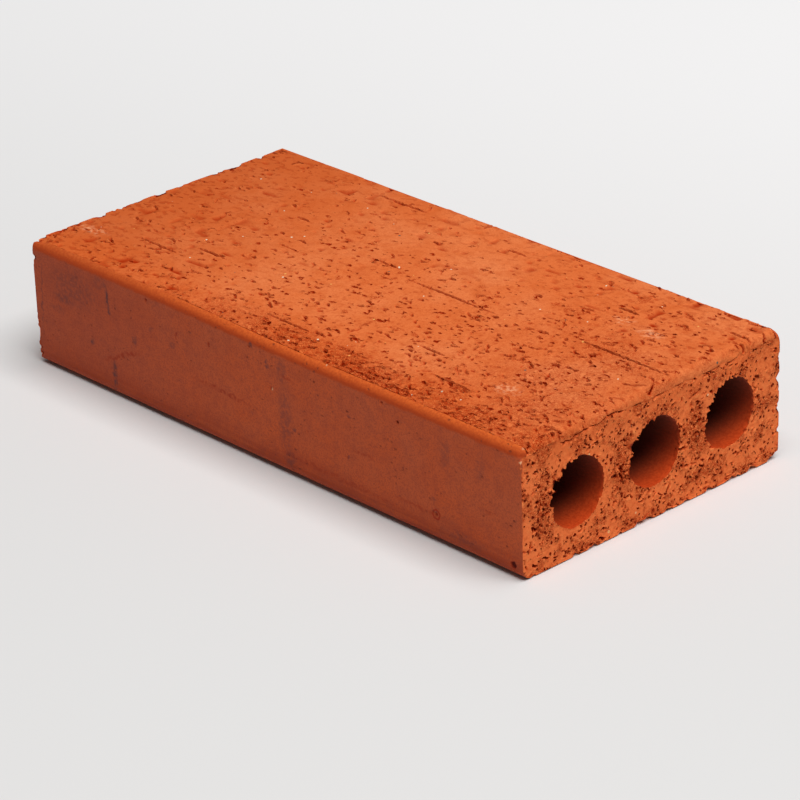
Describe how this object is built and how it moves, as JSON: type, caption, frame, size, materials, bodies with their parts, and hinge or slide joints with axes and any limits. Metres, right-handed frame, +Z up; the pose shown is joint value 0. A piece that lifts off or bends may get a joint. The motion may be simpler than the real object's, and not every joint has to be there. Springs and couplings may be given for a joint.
{
  "type": "clay brick",
  "caption": "Flat fired clay paving brick with rounded long edges, a scraped upper face, wire-cut ends and round cores running through its length.",
  "frame": {"origin": "centre of the bed face, on the surface that the brick lies on", "axes": "+X along the brick and its cores, +Y across it, +Z up to the scraped face"},
  "size_m": [0.2, 0.1, 0.039],
  "materials": {
    "fired_clay": "unglazed fired red clay: torn and scraped on top and at the cut ends, smooth die skin on the long sides"
  },
  "bodies": {
    "root": {"brick": "fired_clay"}
  },
  "joints": []
}
